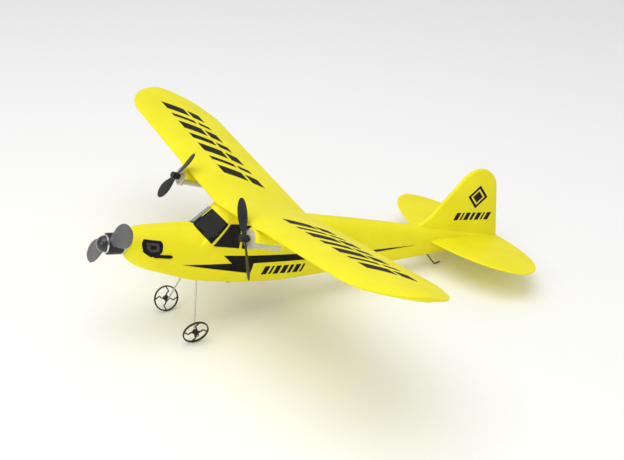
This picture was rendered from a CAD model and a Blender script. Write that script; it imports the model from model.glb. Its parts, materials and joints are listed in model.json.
import json
import math

import bmesh
import bpy
from mathutils import Matrix, Vector


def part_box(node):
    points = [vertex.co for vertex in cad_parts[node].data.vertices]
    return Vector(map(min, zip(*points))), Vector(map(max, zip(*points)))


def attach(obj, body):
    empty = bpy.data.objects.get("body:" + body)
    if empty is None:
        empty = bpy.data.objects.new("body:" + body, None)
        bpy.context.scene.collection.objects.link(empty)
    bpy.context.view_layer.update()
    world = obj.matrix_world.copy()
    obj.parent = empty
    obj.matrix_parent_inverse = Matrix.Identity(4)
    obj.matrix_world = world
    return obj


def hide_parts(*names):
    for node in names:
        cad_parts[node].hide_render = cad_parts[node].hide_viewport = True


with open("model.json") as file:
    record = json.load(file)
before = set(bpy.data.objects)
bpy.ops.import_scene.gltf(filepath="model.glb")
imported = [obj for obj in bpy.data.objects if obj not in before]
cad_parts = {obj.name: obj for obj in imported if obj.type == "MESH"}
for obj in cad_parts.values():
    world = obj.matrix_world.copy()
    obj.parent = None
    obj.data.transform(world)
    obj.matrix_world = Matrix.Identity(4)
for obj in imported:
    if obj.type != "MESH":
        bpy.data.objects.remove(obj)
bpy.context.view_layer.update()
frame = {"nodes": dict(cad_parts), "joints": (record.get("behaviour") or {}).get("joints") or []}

# A foam toy aeroplane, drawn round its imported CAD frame.  Shapes are written in the airframe's own
# axes, in millimetres (X to port, Y aft, Z up, zero at the middle of the wing's leading edge), and
# "stance" stands them in the frame, in metres.

MM = 0.001
NOSE_DISC = Vector((0, -64.2, -24.1))
joints = {joint["name"]: joint for joint in frame["joints"]}
nose_joint = joints["nose_propeller_spin"]
lean = math.atan2(nose_joint["axis"][2], -nose_joint["axis"][1])
stance_turn = Matrix.Rotation(-lean, 4, "X")
stance_shift = Vector(nose_joint["pos_m"]) - stance_turn @ NOSE_DISC * MM
stance = Matrix.Translation(stance_shift) @ stance_turn @ Matrix.Scale(MM, 4)
airframe = stance.inverted()


def shaft_frame(side):
    """Airframe placement of a propeller's hub, Z forward along its shaft."""
    joint = joints[side + "_propeller_spin"]
    hub = airframe @ Vector(joint["pos_m"])
    axis = stance_turn.inverted() @ Vector(joint["axis"])
    return Matrix.Translation(hub) @ Matrix.Rotation(math.atan2(-axis.y, axis.z), 4, "X")


def axle_frame(side):
    """Airframe placement of a wheel's middle, Z outboard along its axle."""
    joint = joints[side + "_wheel_spin"]
    centre = airframe @ Vector(joint["pos_m"])
    axis = stance_turn.inverted() @ Vector(joint["axis"])
    return Matrix.Translation(centre) @ Matrix.Rotation(math.atan2(axis.x, axis.z), 4, "Y")


# ---------------------------------------------------------------- camera

CAMERA_AIM = Vector((0, 60, -20))
CAMERA_AZIMUTH = 56.626
CAMERA_ELEVATION = 20.878
CAMERA_ROLL = 11.339
CAMERA_DISTANCE = 691.614
CAMERA_PAN = -0.785
CAMERA_TILT = -0.212
CAMERA_LENS = 63.4


def make_camera():
    """The camera, orbiting the airframe's middle, then panned, tilted and rolled."""
    azimuth = math.radians(CAMERA_AZIMUTH)
    elevation = math.radians(CAMERA_ELEVATION)
    back = Vector((math.sin(azimuth) * math.cos(elevation), -math.cos(azimuth) * math.cos(elevation),
                   math.sin(elevation)))
    right = Vector((math.cos(azimuth), math.sin(azimuth), 0))
    axes = Matrix((right, back.cross(right), back)).transposed()
    turned = axes @ Matrix.Rotation(math.radians(CAMERA_PAN), 3, "Y")
    turned = turned @ Matrix.Rotation(math.radians(-CAMERA_TILT), 3, "X")
    turned = turned @ Matrix.Rotation(math.radians(CAMERA_ROLL), 3, "Z")
    data = bpy.data.cameras.new("camera")
    data.lens = CAMERA_LENS
    camera = bpy.data.objects.new("camera", data)
    bpy.context.scene.collection.objects.link(camera)
    place = stance_turn @ turned.to_4x4()
    place.translation = stance @ (CAMERA_AIM + back * CAMERA_DISTANCE)
    camera.matrix_world = place
    bpy.context.scene.camera = camera


make_camera()


# ---------------------------------------------------------------- materials

def new_material(name):
    """A node material and its shader."""
    material = bpy.data.materials.new(name)
    material.use_nodes = True
    return material, material.node_tree.nodes["Principled BSDF"]


def add_node(tree, kind, inputs=(), **settings):
    """A shader node with its settings and plain inputs."""
    node = tree.nodes.new(kind)
    for name, value in settings.items():
        setattr(node, name, value)
    for name, value in inputs:
        node.inputs[name].default_value = value
    return node


def wire(tree, source, output, target, socket):
    """Join two nodes."""
    tree.links.new(source.outputs[output], target.inputs[socket])


def tinted(tree, shader, pattern, output, low, high, spread=(0.3, 0.7)):
    """Base colour that drifts between two colours with a pattern."""
    ramp = tree.nodes.new("ShaderNodeValToRGB")
    for stop, place, colour in zip(ramp.color_ramp.elements, spread, (low, high)):
        stop.position = place
        stop.color = (*colour, 1)
    wire(tree, pattern, output, ramp, "Fac")
    wire(tree, ramp, "Color", shader, "Base Color")


def roughened(tree, shader, pattern, output, low, high):
    """Roughness that drifts between two values with a pattern."""
    spread = add_node(tree, "ShaderNodeMapRange", [("To Min", low), ("To Max", high)])
    wire(tree, pattern, output, spread, "Value")
    wire(tree, spread, "Result", shader, "Roughness")


def bumped(tree, shader, layers):
    """Stacked bumps: each layer is a pattern, its output and its depth in metres."""
    below = None
    for pattern, output, depth in layers:
        bump = add_node(tree, "ShaderNodeBump", [("Strength", 1.0), ("Distance", depth)])
        wire(tree, pattern, output, bump, "Height")
        if below:
            wire(tree, below, "Normal", bump, "Normal")
        below = bump
    wire(tree, below, "Normal", shader, "Normal")


def object_noise(tree, size_mm, detail=3.0, stretch=(1, 1, 1)):
    """Noise whose grains are about size_mm across, in the object's own place."""
    place = tree.nodes.new("ShaderNodeTexCoord")
    scaling = add_node(tree, "ShaderNodeMapping", [("Scale", stretch)])
    noise = add_node(tree, "ShaderNodeTexNoise", [("Scale", 1 / (size_mm * MM)), ("Detail", detail)])
    wire(tree, place, "Object", scaling, "Vector")
    wire(tree, scaling, "Vector", noise, "Vector")
    return noise


def object_cells(tree, size_mm, feature="SMOOTH_F1"):
    """Closed cells about size_mm across, in the object's own place."""
    place = tree.nodes.new("ShaderNodeTexCoord")
    cells = add_node(tree, "ShaderNodeTexVoronoi", [("Scale", 1 / (size_mm * MM))], feature=feature)
    wire(tree, place, "Object", cells, "Vector")
    return cells


BEAD_SIZE = 2.1


def foam_material():
    """Moulded expanded-bead foam: faint beads, a fine skin and a little light inside."""
    material, shader = new_material("yellow_foam")
    tree = material.node_tree
    drift = object_noise(tree, 26, 2)
    skin = object_noise(tree, 0.35, 4)
    beads = object_cells(tree, BEAD_SIZE)
    tinted(tree, shader, drift, "Fac", (0.84, 0.75, 0.006), (0.90, 0.82, 0.012))
    roughened(tree, shader, skin, "Fac", 0.52, 0.7)
    bumped(tree, shader, [(beads, "Distance", 0.00011), (skin, "Fac", 0.00003)])
    shader.inputs["Subsurface Weight"].default_value = 0.08
    shader.inputs["Subsurface Radius"].default_value = (1.0, 0.85, 0.2)
    shader.inputs["Subsurface Scale"].default_value = 0.002
    shader.inputs["Specular IOR Level"].default_value = 0.3
    return material


def moulded_material(name, low, high, rough, grain=0.4, depth=0.00001, coat=0.0):
    """Moulded plastic or rubber with a fine grain and faint flow marks."""
    material, shader = new_material(name)
    tree = material.node_tree
    flow = object_noise(tree, 7, 2)
    fine = object_noise(tree, grain, 4)
    tinted(tree, shader, flow, "Fac", low, high)
    roughened(tree, shader, fine, "Fac", rough - 0.06, rough + 0.08)
    bumped(tree, shader, [(flow, "Fac", depth * 2), (fine, "Fac", depth)])
    shader.inputs["Specular IOR Level"].default_value = 0.25
    shader.inputs["Coat Weight"].default_value = coat
    shader.inputs["Coat Roughness"].default_value = 0.12
    return material


def metal_material(name, low, high, rough, stretch=(1, 1, 1), depth=0.000004):
    """Metal with fine marks, which stretch can draw out along an axis."""
    material, shader = new_material(name)
    tree = material.node_tree
    marks = object_noise(tree, 0.5, 5, stretch)
    tinted(tree, shader, marks, "Fac", low, high)
    roughened(tree, shader, marks, "Fac", rough - 0.08, rough + 0.12)
    bumped(tree, shader, [(marks, "Fac", depth)])
    shader.inputs["Metallic"].default_value = 1.0
    return material


def film_material():
    """Glossy printed window film, nearly black, with soft ripples from the foam below."""
    material, shader = new_material("window_film")
    tree = material.node_tree
    ripples = object_noise(tree, 5, 2)
    beads = object_cells(tree, BEAD_SIZE)
    tinted(tree, shader, ripples, "Fac", (0.004, 0.005, 0.004), (0.010, 0.011, 0.009))
    roughened(tree, shader, ripples, "Fac", 0.14, 0.26)
    bumped(tree, shader, [(ripples, "Fac", 0.00016), (beads, "Distance", 0.00002)])
    shader.inputs["Specular IOR Level"].default_value = 0.14
    return material


def print_material(name, low, high, rough):
    """Printed or stuck-on trim that takes the foam's beads."""
    material, shader = new_material(name)
    tree = material.node_tree
    drift = object_noise(tree, 4, 3)
    beads = object_cells(tree, BEAD_SIZE)
    tinted(tree, shader, drift, "Fac", low, high)
    roughened(tree, shader, drift, "Fac", rough - 0.08, rough + 0.1)
    bumped(tree, shader, [(beads, "Distance", 0.00005)])
    shader.inputs["Specular IOR Level"].default_value = 0.1
    return material


def clear_material():
    """Milky clear plastic of the motor tubes."""
    material, shader = new_material("clear_tube")
    tree = material.node_tree
    haze = object_noise(tree, 3, 3)
    tinted(tree, shader, haze, "Fac", (0.82, 0.79, 0.64), (0.93, 0.91, 0.80))
    roughened(tree, shader, haze, "Fac", 0.16, 0.32)
    bumped(tree, shader, [(haze, "Fac", 0.00003)])
    shader.inputs["Transmission Weight"].default_value = 0.45
    shader.inputs["IOR"].default_value = 1.46
    shader.inputs["Coat Weight"].default_value = 0.5
    return material


def board_material():
    """Circuit board: dark green lacquer with a web of paler tracks."""
    material, shader = new_material("circuit_board")
    tree = material.node_tree
    tracks = object_cells(tree, 1.6, "DISTANCE_TO_EDGE")
    fine = object_noise(tree, 0.3, 3)
    tinted(tree, shader, tracks, "Distance", (0.05, 0.22, 0.08), (0.008, 0.09, 0.035), (0.02, 0.12))
    roughened(tree, shader, fine, "Fac", 0.25, 0.4)
    bumped(tree, shader, [(tracks, "Distance", 0.00004)])
    return material


foam = foam_material()
dark = moulded_material("dark_plastic", (0.013, 0.013, 0.014), (0.022, 0.022, 0.023), 0.4)
grey = moulded_material("grey_plastic", (0.085, 0.085, 0.088), (0.120, 0.120, 0.125), 0.42)
black = moulded_material("black_plastic", (0.008, 0.008, 0.009), (0.016, 0.016, 0.018), 0.16, coat=0.8)
sleeve = moulded_material("hub_sleeve", (0.012, 0.012, 0.013), (0.022, 0.022, 0.024), 0.3)
wheel_black = moulded_material("wheel_plastic", (0.016, 0.016, 0.017), (0.028, 0.028, 0.030), 0.4)
white = moulded_material("white_plastic", (0.70, 0.70, 0.66), (0.80, 0.80, 0.77), 0.4)
red = moulded_material("red_cover", (0.45, 0.02, 0.015), (0.58, 0.04, 0.03), 0.4)
socket = moulded_material("socket_plastic", (0.02, 0.02, 0.022), (0.035, 0.035, 0.04), 0.5)
chip = moulded_material("chip_resin", (0.012, 0.012, 0.013), (0.022, 0.022, 0.024), 0.55)
lamp = moulded_material("lamp_resin", (0.60, 0.05, 0.03), (0.75, 0.10, 0.06), 0.18, coat=0.6)
magnet = moulded_material("magnet_coat", (0.12, 0.12, 0.13), (0.18, 0.18, 0.19), 0.35)
chrome = metal_material("bright_plating", (0.80, 0.80, 0.82), (0.90, 0.90, 0.92), 0.14)
steel = metal_material("spring_steel", (0.52, 0.51, 0.48), (0.66, 0.65, 0.61), 0.34, (1, 1, 0.1))
black_steel = moulded_material("black_wire", (0.03, 0.03, 0.028), (0.06, 0.06, 0.055), 0.35)
can_steel = metal_material("can_steel", (0.62, 0.62, 0.62), (0.75, 0.75, 0.75), 0.28, (1, 0.1, 1))
copper = metal_material("coil_copper", (0.62, 0.26, 0.12), (0.75, 0.36, 0.18), 0.35, (1, 8, 1))
pouch = metal_material("battery_foil", (0.50, 0.52, 0.54), (0.66, 0.68, 0.70), 0.38)
film = film_material()
trim = print_material("black_trim", (0.006, 0.006, 0.005), (0.013, 0.013, 0.011), 0.55)
trim_grey = print_material("grey_trim", (0.05, 0.048, 0.045), (0.075, 0.072, 0.068), 0.4)
clear = clear_material()
board = board_material()

NODE_MATERIALS = {
    "nose_plug": white, "nose_pin": steel, "nose_propeller": grey, "nose_spinner_ring": chrome,
    "nose_spinner": black, "gear_wire": steel, "tail_skid": black_steel, "gear_block": white,
    "wheel_retainers": wheel_black, "belly_tray": dark, "bay_frame": dark, "tray_screws": steel,
    "charge_jack": socket, "switch_body": socket, "switch_knob": white, "receiver_board": board,
    "board_chips": chip, "status_lamp": lamp, "battery": pouch, "battery_leads": red, "aerial_wire": red,
    "wing": foam, "tailplane": foam, "tail_fin": foam, "fuselage_port_half": foam,
    "fuselage_starboard_half": foam,
}
SIDE_MATERIALS = {
    "motor_tube": clear, "motor_can": can_steel, "motor_magnet": magnet, "motor_cap": white,
    "motor_coil": copper, "motor_shaft": steel, "motor_leads": red, "propeller": dark,
    "wheel": wheel_black, "windshield_film": film, "window_films": film,
}


def dress_frame():
    """Give every CAD node its material."""
    looks = dict(NODE_MATERIALS)
    for side in ("port", "starboard"):
        for name, material in SIDE_MATERIALS.items():
            looks[side + "_" + name] = material
    for name, node in frame["nodes"].items():
        if not node.material_slots:
            node.data.materials.append(looks[name])
        for entry in node.material_slots:
            entry.material = looks[name]


dress_frame()


# ---------------------------------------------------------------- mesh helpers

SHARP = math.radians(38)


def piece(name, points, faces, material, slot, place=Matrix(), body="airframe", replaces=()):
    """A mesh from airframe points in millimetres, standing in the frame on its body."""
    mesh = bpy.data.meshes.new(name)
    mesh.from_pydata([stance @ (place @ Vector(point)) for point in points], [], faces)
    work = bmesh.new()
    work.from_mesh(mesh)
    bmesh.ops.remove_doubles(work, verts=work.verts, dist=1e-6)
    bmesh.ops.recalc_face_normals(work, faces=work.faces)
    work.to_mesh(mesh)
    work.free()
    mesh.shade_smooth()
    mesh.set_sharp_from_angle(angle=SHARP)
    mesh.materials.append(material)
    item = bpy.data.objects.new(name, mesh)
    bpy.context.scene.collection.objects.link(item)
    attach(item, body)
    for node in replaces:
        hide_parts(node)
    return item


def merged(*parts):
    """Several (points, faces) pairs as one."""
    points = []
    faces = []
    for more_points, more_faces in parts:
        start = len(points)
        points.extend(more_points)
        faces.extend(tuple(index + start for index in face) for face in more_faces)
    return points, faces


def skinned(rings, closed_rows=False):
    """Quads between rings of equal length, capped at both ends unless the rows close on themselves."""
    count = len(rings[0])
    rows = len(rings)
    points = [point for ring in rings for point in ring]
    faces = []
    for row in range(rows if closed_rows else rows - 1):
        low = row * count
        high = (row + 1) % rows * count
        for index in range(count):
            following = (index + 1) % count
            faces.append((low + index, low + following, high + following, high + index))
    if not closed_rows:
        faces.append(tuple(range(count)))
        faces.append(tuple(range((rows - 1) * count, rows * count)))
    return points, faces


def lathed(profile, steps=64):
    """A closed (radius, height) profile turned about Z."""
    rings = []
    for step in range(steps):
        turn = 2 * math.pi * step / steps
        rings.append([(r * math.cos(turn), r * math.sin(turn), z) for r, z in profile])
    return skinned(rings, closed_rows=True)


def rounded_box_profile(inner, outer, low, high, corner, steps=5):
    """Closed (radius, height) rectangle with round corners."""
    centres = ((outer - corner, high - corner, 0), (inner + corner, high - corner, 90),
               (inner + corner, low + corner, 180), (outer - corner, low + corner, 270))
    profile = []
    for across, up, start in centres:
        for step in range(steps + 1):
            turn = math.radians(start + 90 * step / steps)
            profile.append((across + corner * math.cos(turn), up + corner * math.sin(turn)))
    return profile


def plate(outline, step, shape, low, high):
    """A solid plate over a flat outline: shape(u, v, lift) bends it, between two lifts."""
    work = bmesh.new()
    work.faces.new([work.verts.new((u, v, 0)) for u, v in outline])
    bmesh.ops.triangulate(work, faces=work.faces)
    for axis, normal in ((0, (1, 0, 0)), (1, (0, 1, 0))):
        start = min(point[axis] for point in outline)
        end = max(point[axis] for point in outline)
        for line in range(1, int((end - start) / step) + 1):
            cut = [0, 0, 0]
            cut[axis] = start + line * step
            everything = work.verts[:] + work.edges[:] + work.faces[:]
            bmesh.ops.bisect_plane(work, geom=everything, dist=1e-5, plane_co=cut, plane_no=normal)
    bmesh.ops.remove_doubles(work, verts=work.verts, dist=1e-4)
    work.verts.index_update()
    flat = [(vert.co.x, vert.co.y) for vert in work.verts]
    count = len(flat)
    points = [shape(u, v, high) for u, v in flat] + [shape(u, v, low) for u, v in flat]
    faces = []
    for face in work.faces:
        corners = [vert.index for vert in face.verts]
        faces.append(tuple(corners))
        faces.append(tuple(index + count for index in reversed(corners)))
    for edge in work.edges:
        if edge.is_boundary:
            one, two = (vert.index for vert in edge.verts)
            faces.append((one, two, two + count, one + count))
    work.free()
    return points, faces


def smooth_between(rows, place):
    """A row of numbers at a place, between rows sorted by their first number, with no overshoot."""
    place = min(max(place, rows[0][0]), rows[-1][0])
    index = max(i for i in range(len(rows) - 1) if rows[i][0] <= place)
    run = rows[index + 1][0] - rows[index][0]
    part = (place - rows[index][0]) / run
    ease = part * part * (3 - 2 * part)

    def rate(column, i):
        return (rows[i + 1][column] - rows[i][column]) / (rows[i + 1][0] - rows[i][0])

    def slope(column, i):
        if i == 0:
            return rate(column, 0)
        if i == len(rows) - 1:
            return rate(column, i - 1)
        before = rate(column, i - 1)
        after = rate(column, i)
        return 0 if before * after <= 0 else 2 * before * after / (before + after)

    result = []
    for column in range(1, len(rows[0])):
        start = rows[index][column]
        result.append(start + (rows[index + 1][column] - start) * ease
                      + slope(column, index) * part * (1 - part) ** 2 * run
                      + slope(column, index + 1) * part * part * (part - 1) * run)
    return result


# ---------------------------------------------------------------- fuselage

# Each station: distance aft, top, bottom, half width, squareness above and below.
STATIONS = (
    (-55, -19.6, -30.0, 5.8, 2.0, 2.0),
    (-53.2, -17.0, -33.4, 8.6, 2.1, 2.2),
    (-49, -15.0, -36.6, 10.9, 2.2, 2.5),
    (-43, -14.1, -38.8, 12.2, 2.3, 2.8),
    (-32, -13.5, -41.6, 13.2, 2.35, 3.2),
    (-14.4, -13.0, -46.1, 14.4, 2.4, 3.8),
    (-2.6, -3.0, -47.8, 14.7, 3.3, 4.0),
    (4, -0.6, -48.5, 14.7, 3.2, 4.0),
    (24, -1.0, -50.0, 14.6, 2.9, 4.0),
    (44, -4.6, -50.1, 14.0, 2.8, 4.0),
    (64, -8.6, -49.0, 12.9, 2.6, 3.8),
    (105, -12.9, -45.6, 10.0, 2.4, 3.4),
    (145, -17.6, -42.2, 7.2, 2.4, 3.0),
    (185, -22.6, -37.6, 4.8, 2.3, 2.6),
    (227, -27.4, -33.4, 2.6, 2.2, 2.4),
)
COWL_SECTION = (-13.0, -46.1, 14.5, 2.4, 3.8)
PANE_FOOT_AFT = -14.1
PANE_FOOT_HEIGHT = -13.5
PANE_RAKE = 0.914
PANE_FALL = 0.7
PANE_SPREAD = math.sqrt(1 + PANE_RAKE ** 2 + PANE_FALL ** 2) / PANE_FALL
SEAM_DEPTH = 0.35
SEAM_HALF_WIDTH = 0.16
SEAM_GAP = 0.45
TRAY_LENGTH = 42.3
HATCH_MARGIN = Vector((0.00015, 0.00015, 0.003))
NOSE_RUN = 12
HOOD_END = 40
PANES_END = 60


def section_width(section, height, lift=0.0):
    """Half width of a section (top, bottom, half width, squareness up and down) at a height."""
    top, bottom, half_width, square_up, square_down = section
    middle = (top + bottom) / 2
    reach = (top - bottom) / 2 + lift
    square = square_up if height > middle else square_down
    inside = 1 - min(1.0, abs(height - middle) / reach) ** square
    return (half_width + lift) * inside ** (1 / square)


def pane_height(across, aft):
    """Height of the windshield's flat pane at a distance from the middle."""
    return PANE_FOOT_HEIGHT + PANE_RAKE * (aft - PANE_FOOT_AFT) - PANE_FALL * across


def skin_width(aft, height, lift=0.0):
    """Half width of the fuselage at a place in side view, cut back by the windshield's flat panes."""
    round_width = section_width(smooth_between(STATIONS, aft), height, lift)
    pane_width = (pane_height(0, aft) - height) / PANE_FALL + lift * PANE_SPREAD
    return min(round_width, max(pane_width, section_width(COWL_SECTION, height, lift), SEAM_GAP))


def under_windshield(across, aft, height):
    """The height, brought down to the flat panes or to the cowl that runs on below them."""
    top, bottom, half_width, square, _ = COWL_SECTION
    inside = max(0.0, 1 - (abs(across) / half_width) ** square)
    cowl_height = (top + bottom) / 2 + (top - bottom) / 2 * inside ** (1 / square)
    return min(height, max(pane_height(abs(across), aft), cowl_height))


def half_section(aft, side, steps=30):
    """Closed half section: bottom seam, round the side, top seam, and back down the middle."""
    top, bottom, half_width, square_up, square_down = smooth_between(STATIONS, aft)
    middle = (top + bottom) / 2
    reach = (top - bottom) / 2
    ring = [(0, aft, bottom + SEAM_DEPTH), (side * SEAM_HALF_WIDTH, aft, bottom + 0.04)]
    for step in range(1, 2 * steps):
        turn = math.pi / 2 * (step / steps - 1)
        power = 2 / (square_up if turn > 0 else square_down)
        across = abs(math.cos(turn)) ** power * half_width
        rise = math.copysign(abs(math.sin(turn)) ** power, turn) * reach
        across = max(across, SEAM_HALF_WIDTH)
        ring.append((side * across, aft, under_windshield(across, aft, middle + rise)))
    ridge = under_windshield(0, aft, top)
    ring += [(side * SEAM_HALF_WIDTH, aft, ridge - 0.14), (0, aft, ridge - SEAM_DEPTH)]
    return ring


def station_rows():
    """Where the sections stand: close together on the cowl's nose and over the windshield."""
    start = STATIONS[0][0]
    nose = [start + NOSE_RUN * (step / 24) ** 1.6 for step in range(24)]
    hood = [start + NOSE_RUN + (HOOD_END - NOSE_RUN) * step / 16 for step in range(16)]
    panes = [start + HOOD_END + (PANES_END - HOOD_END) * step / 44 for step in range(44)]
    length = STATIONS[-1][0] - start - PANES_END
    return nose + hood + panes + [start + PANES_END + length * step / 120 for step in range(121)]


def make_fuselage():
    """The two foam shells, meeting in a fine seam along the middle, with the hatch cut out."""
    low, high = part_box("belly_tray")
    size = high - low + 2 * HATCH_MARGIN
    centre = (low + high) / 2
    cutter_mesh = bpy.data.meshes.new("hatch_cutter")
    shape = bmesh.new()
    bmesh.ops.create_cube(shape, size=1)
    tilt = stance_turn @ Matrix.Diagonal((size.x, TRAY_LENGTH * MM, size.z, 1))
    shape.transform(Matrix.Translation(centre) @ tilt)
    shape.to_mesh(cutter_mesh)
    shape.free()
    cutter = bpy.data.objects.new("hatch_cutter", cutter_mesh)
    bpy.context.scene.collection.objects.link(cutter)
    for side, name in ((1, "port"), (-1, "starboard")):
        rings = [half_section(aft, side) for aft in station_rows()]
        half = piece("fuselage_%s_shell" % name, *skinned(rings), foam, "foam",
                     replaces=["fuselage_%s_half" % name])
        hatch = half.modifiers.new("hatch", "BOOLEAN")
        hatch.object = cutter
        hatch.operation = "DIFFERENCE"
        apply_modifiers(half)
    bpy.data.objects.remove(cutter)


def apply_modifiers(item):
    """Bake an object's modifiers into its mesh."""
    graph = bpy.context.evaluated_depsgraph_get()
    baked = bpy.data.meshes.new_from_object(item.evaluated_get(graph))
    item.modifiers.clear()
    item.data = baked
    baked.shade_smooth()
    baked.set_sharp_from_angle(angle=SHARP)


make_fuselage()


def side_shape(side):
    """Shape for a plate drawn in side view that lies on the fuselage's skin."""
    def shape(aft, height, lift):
        return (side * skin_width(aft, height, lift), aft, height)
    return shape


# ---------------------------------------------------------------- wing and tail

WING_HALF_SPAN = 170
WING_CHORD = 64
WING_TIP_START = 129
WING_TIP_BEND = 148
WING_SLOPE = 0.116
WING_TIP_SLOPE = 0.24
WING_THICKNESS = 6.4
WING_CAMBER = 2.6
WING_DROP = 8.6
TAIL_HALF_SPAN = 69
TAIL_CHORD = 63
TAIL_MIDDLE = 196.4
TAIL_HEIGHT = -28.8
TAIL_SLOPE = 0.062
TAIL_THICKNESS = 3.4
DIMPLE_DEPTH = 1.5
hub_side = abs((airframe @ Vector(joints["port_propeller_spin"]["pos_m"])).x)


def thickness_at(part, thickness):
    """Half thickness of a round-nosed, blunt-tailed aerofoil at a part of its chord."""
    return thickness * (1.4845 * math.sqrt(part) - 0.63 * part - 1.758 * part ** 2
                        + 1.4215 * part ** 3 - 0.5075 * part ** 4) + 0.12 * thickness * part


def wing_row(span):
    """Leading edge, chord, height, drop, thickness and camber of the wing at a span."""
    reach = max(0.0, (span - WING_TIP_START) / (WING_HALF_SPAN - WING_TIP_START))
    ratio = math.sqrt(max(0.0, 1 - reach ** 2))
    chord = WING_CHORD * ratio
    rise = WING_SLOPE * span + (WING_TIP_SLOPE - WING_SLOPE) * max(0.0, span - WING_TIP_BEND)
    rise -= WING_DROP * (1 - ratio) / 2
    return ((WING_CHORD - chord) / 2, chord, rise, WING_DROP * ratio,
            WING_THICKNESS * (0.3 + 0.7 * ratio), WING_CAMBER * ratio)


def tail_row(span):
    """The same six numbers for the elliptic tailplane."""
    ratio = math.sqrt(max(0.0, 1 - (span / TAIL_HALF_SPAN) ** 2))
    chord = TAIL_CHORD * ratio
    return (TAIL_MIDDLE - chord / 2, chord, TAIL_HEIGHT + TAIL_SLOPE * span, 0,
            TAIL_THICKNESS * (0.4 + 0.6 * ratio), 0)


def dimple(across, aft):
    """How far the wing's top sinks in the hollow behind each propeller."""
    return DIMPLE_DEPTH * math.exp(-((abs(across) - hub_side) / 6.5) ** 2 - ((aft - 3) / 7) ** 2)


def surface_point(across, part, row, upper, lift=0.0):
    """A point of a lifting surface at a part of its chord."""
    lead, chord, rise, drop, thickness, camber = row
    half = thickness_at(part, thickness) + lift
    middle = rise + 4 * camber * part * (1 - part) - drop * part
    aft = lead + chord * part
    if upper and drop:
        half -= dimple(across, aft)
    return (across, aft, middle + (half if upper else -half))


def lifting_surface(row_at, spans, steps=26):
    """A closed panel from tip to tip."""
    rings = []
    for across in [-span for span in reversed(spans)] + spans[1:]:
        row = row_at(abs(across))
        ring = []
        for step in range(steps + 1):
            part = (1 - math.cos(math.pi * step / steps)) / 2
            ring.append(surface_point(across, part, row, True))
        for step in range(steps, 0, -1):
            part = (1 - math.cos(math.pi * step / steps)) / 2
            ring.append(surface_point(across, part, row, False))
        rings.append(ring)
    return skinned(rings)


def tip_spans(start, end, steps=26):
    """Spans that crowd towards a round tip."""
    nearly_right = math.radians(88.5)
    return [start + (end - start) * math.sin(nearly_right * step / steps) for step in range(1, steps + 1)]


def make_lifting_surfaces():
    """Wing and tailplane."""
    straight = [WING_TIP_START * step / 86 for step in range(87)]
    wing = lifting_surface(wing_row, straight + tip_spans(WING_TIP_START, WING_HALF_SPAN))
    piece("wing_panel", *wing, foam, "foam", replaces=["wing"])
    tail = lifting_surface(tail_row, [0.0] + tip_spans(0, TAIL_HALF_SPAN, 44))
    piece("tailplane_panel", *tail, foam, "foam", replaces=["tailplane"])


make_lifting_surfaces()

SADDLE_RADIUS = 7.0
SADDLE_FRONT = -3.4
SADDLE_BACK = -30
SADDLE_LIFT = 0.6
SADDLE_NOSE_SHARE = 0.06
SADDLE_NOSE_SCALE = 0.88
SADDLE_TAPER = 0.3


def make_saddle(side):
    """Foam saddle that carries a motor's tube below the wing, narrower aft."""
    steps = 24
    rings = []
    for step in range(steps + 1):
        part = step / steps
        along = SADDLE_FRONT + (SADDLE_BACK - SADDLE_FRONT) * part
        rounding = math.sqrt(1 - max(0.0, 1 - part / SADDLE_NOSE_SHARE) ** 2)
        nose = rounding * (1 - SADDLE_NOSE_SCALE) + SADDLE_NOSE_SCALE
        fade = 1 - SADDLE_TAPER * part ** 2
        ring = []
        for turn_step in range(25):
            turn = math.pi * turn_step / 24
            ring.append((SADDLE_RADIUS * nose * fade * math.cos(turn),
                         SADDLE_LIFT + (SADDLE_RADIUS - SADDLE_LIFT) * nose * math.sin(turn) ** 0.9, along))
        rings.append(ring)
    piece(side + "_motor_saddle", *skinned(rings), foam, "foam", place=shaft_frame(side))


FIN_THICKNESS = 3.2
FIN_ROUNDING = 1.3


def arc_points(start, middle, end, steps):
    """Points of the circle through three points, after start and up to end."""
    (ax, ay), (bx, by), (cx, cy) = start, middle, end
    scale = 2 * (ax * (by - cy) + bx * (cy - ay) + cx * (ay - by))
    a2, b2, c2 = ax * ax + ay * ay, bx * bx + by * by, cx * cx + cy * cy
    ox = (a2 * (by - cy) + b2 * (cy - ay) + c2 * (ay - by)) / scale
    oy = (a2 * (cx - bx) + b2 * (ax - cx) + c2 * (bx - ax)) / scale
    radius = math.hypot(ax - ox, ay - oy)
    first = math.atan2(ay - oy, ax - ox)
    sweep = (math.atan2(cy - oy, cx - ox) - first + math.pi) % (2 * math.pi) - math.pi
    return [(ox + radius * math.cos(first + sweep * step / steps),
             oy + radius * math.sin(first + sweep * step / steps)) for step in range(1, steps + 1)]


def fin_outline():
    """Fin in side view, anticlockwise, as points about a millimetre apart."""
    corners = [(154.0, -29.6), (227.0, -29.6), (215.0, 10.4)]
    trail_to_crown = arc_points((215.0, 10.4), (209.3, 18.4), (197.3, 22.1), 12)
    crown_to_lead = arc_points((197.3, 22.1), (190.2, 19.6), (184.0, 13.6), 10)
    path = corners + trail_to_crown + crown_to_lead + [(163.4, -13.0), (154.0, -19.6)]
    points = []
    for (x0, y0), (x1, y1) in zip(path, path[1:] + path[:1]):
        pieces = max(1, round(math.hypot(x1 - x0, y1 - y0)))
        points += [(x0 + (x1 - x0) * step / pieces, y0 + (y1 - y0) * step / pieces) for step in range(pieces)]
    return points


def inset(points, distance):
    """An outline moved inwards, corner by corner."""
    moved = []
    for before, here, after in zip(points[-1:] + points[:-1], points, points[1:] + points[:1]):
        along = Vector((after[0] - before[0], after[1] - before[1])).normalized()
        moved.append((here[0] - along.y * distance, here[1] + along.x * distance))
    return moved


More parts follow.
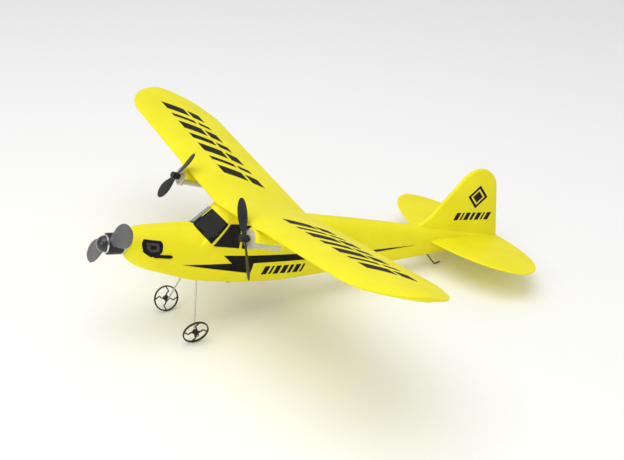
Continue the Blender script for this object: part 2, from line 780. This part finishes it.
def make_fin():
    """The fin: a flat foam plate with rounded edges."""
    outline = fin_outline()
    rings = []
    steps = 8
    for step in range(steps + 1):
        turn = math.pi * (step / steps - 0.5)
        across = math.sin(turn) * FIN_THICKNESS / 2
        ring = inset(outline, FIN_ROUNDING * (1 - math.cos(turn)))
        rings.append([(across, aft, height) for aft, height in ring])
    piece("tail_fin_panel", *skinned(rings), foam, "foam", replaces=["tail_fin"])


for side_name in ("port", "starboard"):
    make_saddle(side_name)
make_fin()


# ---------------------------------------------------------------- windows and trim

FILM_LIFT = 0.22
TRIM_LIFT = 0.1
PLATE_FOOT = -0.1
BAR_SPLIT_GAP = 0.09
WINDOW_A = ((-5.0, -21.4), (12.5, -23.4), (11.8, -8.6), (5.0, -8.2))
WINDOW_B = ((14.3, -23.7), (22.0, -24.6), (20.4, -9.8), (13.6, -9.2))


def rounded_outline(corners, radius, steps=4):
    """A polygon with its corners rounded off."""
    points = []
    for before, here, after in zip(corners[-1:] + corners[:-1], corners, corners[1:] + corners[:1]):
        here = Vector(here)
        start = here + (Vector(before) - here).normalized() * radius
        end = here + (Vector(after) - here).normalized() * radius
        for step in range(steps + 1):
            part = step / steps
            blend = start.lerp(here, part).lerp(here.lerp(end, part), part)
            points.append(tuple(blend))
    return points


def windshield(side):
    """One pane of the windshield, from the middle pillar round to the side pillar."""
    ridge = [(aft, pane_height(SEAM_GAP, aft)) for aft in (-13.4, -2.4)]
    outline = rounded_outline(ridge[:1] + [(-6.4, -20.0), (3.4, -8.2)] + ridge[1:], 0.5)
    pane = plate(outline, 0.8, side_shape(side), PLATE_FOOT, FILM_LIFT)
    piece(side_word(side) + "_windshield_pane", *pane, film, "black_film",
          replaces=[side_word(side) + "_windshield_film"])


def side_word(side):
    """Port or starboard from +1 or -1."""
    return "port" if side > 0 else "starboard"


def make_windows():
    """Windshield panes and side windows on both sides."""
    for side in (1, -1):
        windshield(side)
        panes = []
        for corners in (WINDOW_A, WINDOW_B):
            outline = rounded_outline(list(corners), 0.7)
            panes.append(plate(outline, 1.4, side_shape(side), PLATE_FOOT, FILM_LIFT))
        piece(side_word(side) + "_window_panes", *merged(*panes), film, "black_film",
              replaces=[side_word(side) + "_window_films"])


STRIPE = [(-22.6, -33.1), (9.6, -33.4), (3.2, -27.9), (21.3, -28.7), (55.3, -29.4), (63.3, -33.8),
          (24.6, -33.9), (23.6, -40.8)]
REAR_STRIPE = [(114.6, -31.2), (151.0, -30.2), (117.6, -32.8)]
COWL_PANEL = [(-47.2, -17.9), (-37.0, -18.6), (-35.9, -20.4), (-36.1, -24.8), (-38.4, -27.4), (-42.9, -28.0),
              (-47.6, -24.9), (-48.4, -20.2)]
COWL_SCREEN = [(-45.8, -19.4), (-38.4, -19.9), (-38.0, -24.3), (-43.0, -24.9), (-45.6, -22.6)]
COWL_CORE = [(-43.6, -20.9), (-40.2, -21.1), (-40.0, -23.2), (-43.2, -23.2)]
EXHAUST = [(-41.0, -26.3), (-30.6, -26.8), (-29.2, -27.9), (-30.6, -28.9), (-41.0, -28.3)]
DIAMOND_AFT = 200.1
DIAMOND_HEIGHT = 2.0
DIAMOND_OUTER = 8.4
DIAMOND_INNER = 6.0
DIAMOND_CORE = 4.2


def slanted_bars(start, end, low, high, slant, widths, gap):
    """A row of slanted bars of different widths, filling start to end, as outlines."""
    total = sum(widths) + gap * (len(widths) - 1)
    scale = (end - start) / total
    bars = []
    place = start
    for width in widths:
        wide = width * scale
        bars.append([(place, low), (place + wide, low), (place + wide + slant, high), (place + slant, high)])
        place += wide + gap * scale
    return bars


def trim_piece(name, outlines, step, shape, material=trim, lift=TRIM_LIFT, slot="black_film"):
    """Printed trim as thin plates on a skin."""
    plates = [plate(outline, step, shape, PLATE_FOOT, lift) for outline in outlines]
    return piece(name, *merged(*plates), material, slot)


def make_side_trim():
    """Stripes, generic bars and the cowl graphic, on both sides."""
    bars = slanted_bars(31.5, 61.0, -42.3, -36.6, 2.0, (3, 1.3, 3, 3, 2, 3, 1.3), 1.4)
    for side in (1, -1):
        word = side_word(side)
        shape = side_shape(side)
        trim_piece(word + "_side_stripe", [rounded_outline(STRIPE, 0.25, 2)], 1.5, shape)
        trim_piece(word + "_rear_stripe", [rounded_outline(REAR_STRIPE, 0.2, 2)], 1.5, shape)
        trim_piece(word + "_side_bars", bars, 1.2, shape)
        trim_piece(word + "_cowl_panel", [rounded_outline(COWL_PANEL, 0.6)], 0.9, shape)
        trim_piece(word + "_cowl_exhaust", [rounded_outline(EXHAUST, 0.5)], 0.9, shape, lift=0.35)
        trim_piece(word + "_cowl_screen", [rounded_outline(COWL_SCREEN, 0.5)], 0.9, shape, trim_grey, 0.22)
        trim_piece(word + "_cowl_core", [rounded_outline(COWL_CORE, 0.3)], 0.8, shape, lift=0.3)


def wing_top_shape(across, aft, lift):
    """Shape for trim drawn in plan view on top of the wing."""
    row = wing_row(abs(across))
    part = min(max((aft - row[0]) / row[1], 0.0), 1.0)
    return surface_point(across, part, row, True, lift)


def split_bars(bars, share):
    """Each bar cut across into two, with a gap between."""
    result = []
    for (a, b, c, d) in bars:
        for first, last in ((0.0, share), (share + BAR_SPLIT_GAP, 1.0)):
            left = Vector(a).lerp(Vector(d), first), Vector(a).lerp(Vector(d), last)
            right = Vector(b).lerp(Vector(c), first), Vector(b).lerp(Vector(c), last)
            result.append([tuple(left[0]), tuple(right[0]), tuple(right[1]), tuple(left[1])])
    return result


def make_wing_trim():
    """Generic slanted bars on top of each wing panel."""
    widths = (9, 4, 9, 6, 9, 4, 9)
    for word, start, end in (("starboard", -139, -33), ("port", 44, 131)):
        bars = slanted_bars(start, end, 20, 43, 14, widths, 6)
        trim_piece(word + "_wing_bars", split_bars(bars, 0.6), 3.0, wing_top_shape)


def diamond_corner(radius, quarter):
    """A corner of the fin's diamond, counted round from its aft corner."""
    turn = math.pi / 2 * quarter
    return (DIAMOND_AFT + radius * math.cos(turn), DIAMOND_HEIGHT + radius * math.sin(turn))


def diamond_outlines():
    """The four sides of the diamond's frame and its solid middle."""
    outlines = []
    for quarter in range(4):
        ends = ((DIAMOND_INNER, quarter), (DIAMOND_OUTER, quarter),
                (DIAMOND_OUTER, quarter + 1), (DIAMOND_INNER, quarter + 1))
        outlines.append([diamond_corner(radius, end) for radius, end in ends])
    outlines.append([diamond_corner(DIAMOND_CORE, quarter) for quarter in range(4)])
    return outlines


def make_fin_trim():
    """A plain diamond and a row of bars on each side of the fin."""
    bars = slanted_bars(183.4, 213.6, -15.0, -9.6, 2.0, (3, 1.2, 3, 2, 3, 1.2, 3), 1.5)
    for side in (1, -1):
        def flat(aft, height, lift):
            return (side * (FIN_THICKNESS / 2 + lift), aft, height)
        word = side_word(side)
        trim_piece(word + "_fin_diamond", diamond_outlines(), 3.0, flat)
        trim_piece(word + "_fin_bars", bars, 3.0, flat)


make_windows()
make_side_trim()
make_wing_trim()
make_fin_trim()


# ---------------------------------------------------------------- wheels

WHEEL_RADIUS = 8.2
WHEEL_RIM_INNER = 7.35
WHEEL_HALF_WIDTH = 0.65
SPOKE_PATH = ((1.0, 0.0), (2.6, 0.1), (3.6, 0.5), (4.3, 1.35), (5.0, 1.35), (6.0, 0.6), (7.6, -0.4))


def swept_bar(path, half_wide, half_deep):
    """A flat rounded bar along a path in the XY plane."""
    rings = []
    for index, (x, y) in enumerate(path):
        x0, y0 = path[max(index - 1, 0)]
        x1, y1 = path[min(index + 1, len(path) - 1)]
        along = Vector((x1 - x0, y1 - y0)).normalized()
        ring = []
        for step in range(12):
            turn = 2 * math.pi * step / 12
            across = math.copysign(abs(math.cos(turn)) ** 0.6, math.cos(turn)) * half_wide
            up = math.copysign(abs(math.sin(turn)) ** 0.6, math.sin(turn)) * half_deep
            ring.append((x - along.y * across, y + along.x * across, up))
        rings.append(ring)
    return skinned(rings)


def make_wheel(side):
    """Thin rim, a drum hub on a four-pointed boss, and four cranked spokes."""
    rim = lathed(rounded_box_profile(WHEEL_RIM_INNER, WHEEL_RADIUS, -WHEEL_HALF_WIDTH, WHEEL_HALF_WIDTH, 0.3))
    hub = lathed(rounded_box_profile(0.56, 1.6, -1.5, 1.5, 0.25), 32)
    star = []
    for corner in range(8):
        radius = 2.7 if corner % 2 == 0 else 1.5
        angle = math.pi / 4 * corner
        star.append((radius * math.cos(angle), radius * math.sin(angle)))
    boss = plate(rounded_outline(star, 0.3, 2), 5, lambda u, v, lift: (u, v, lift), -0.7, 0.7)
    spokes = []
    for quarter in range(4):
        turn = Matrix.Rotation(math.pi / 2 * quarter, 4, "Z")
        points, faces = swept_bar(SPOKE_PATH, 0.34, 0.45)
        spokes.append(([tuple(turn @ Vector(point)) for point in points], faces))
    name = side + "_wheel"
    piece(name + "_moulding", *merged(rim, hub, boss, *spokes), wheel_black, "dark_plastic",
          place=axle_frame(side), body=name, replaces=[name])


for side_name in ("port", "starboard"):
    make_wheel(side_name)


# ---------------------------------------------------------------- nose hub

HUB_RADIUS = 6.2
HUB_FRONT = 1.6
HUB_BACK = -7.4
SLEEVE_DEPTH = 1.6
SLEEVE_PROUD = 0.14


def make_hub_sleeve():
    """Dark sleeve round the nose propeller's hub drum."""
    profile = rounded_box_profile(HUB_RADIUS - SLEEVE_DEPTH, HUB_RADIUS + SLEEVE_PROUD,
                                  HUB_BACK + 0.05, HUB_FRONT - 0.02, 0.5)
    place = Matrix.Translation(NOSE_DISC) @ Matrix.Rotation(math.pi / 2, 4, "X")
    piece("nose_hub_sleeve", *lathed(profile, 96), sleeve, "dark_plastic", place=place, body="nose_propeller")


make_hub_sleeve()


# ---------------------------------------------------------------- floor and light

def make_stage():
    """A plain pale floor."""
    mesh = bpy.data.meshes.new("floor")
    half = 4.0
    corners = [(-half, -half, 0), (half, -half, 0), (half, half, 0), (-half, half, 0)]
    mesh.from_pydata(corners, [], [(0, 1, 2, 3)])
    material, shader = new_material("floor_paper")
    tree = material.node_tree
    fibres = object_noise(tree, 2.0, 3)
    tinted(tree, shader, fibres, "Fac", (0.93, 0.93, 0.93), (0.95, 0.95, 0.95))
    roughened(tree, shader, fibres, "Fac", 0.8, 0.95)
    mesh.materials.append(material)
    floor = bpy.data.objects.new("floor", mesh)
    bpy.context.scene.collection.objects.link(floor)


def add_light(name, place, aim, size, power):
    """A square area light aimed at a point."""
    data = bpy.data.lights.new(name, "AREA")
    data.size = size
    data.energy = power
    lamp_object = bpy.data.objects.new(name, data)
    bpy.context.scene.collection.objects.link(lamp_object)
    direction = Vector(aim) - Vector(place)
    turned = direction.to_track_quat("-Z", "Y").to_matrix().to_4x4()
    lamp_object.matrix_world = Matrix.Translation(Vector(place)) @ turned


def make_light():
    """Soft studio light: a white world, a big light overhead and a smaller one ahead, to port."""
    world = bpy.data.worlds.new("studio")
    world.use_nodes = True
    background = world.node_tree.nodes["Background"]
    background.inputs["Color"].default_value = (1, 1, 1, 1)
    background.inputs["Strength"].default_value = 0.64
    bpy.context.scene.world = world
    add_light("overhead", (0.15, -0.25, 1.1), (0, 0, 0.05), 1.1, 6.5)
    add_light("nose_side", (0.35, -1.0, 0.5), (0, 0, 0.05), 0.6, 2)
    bpy.context.scene.view_settings.view_transform = "Standard"


make_stage()
make_light()
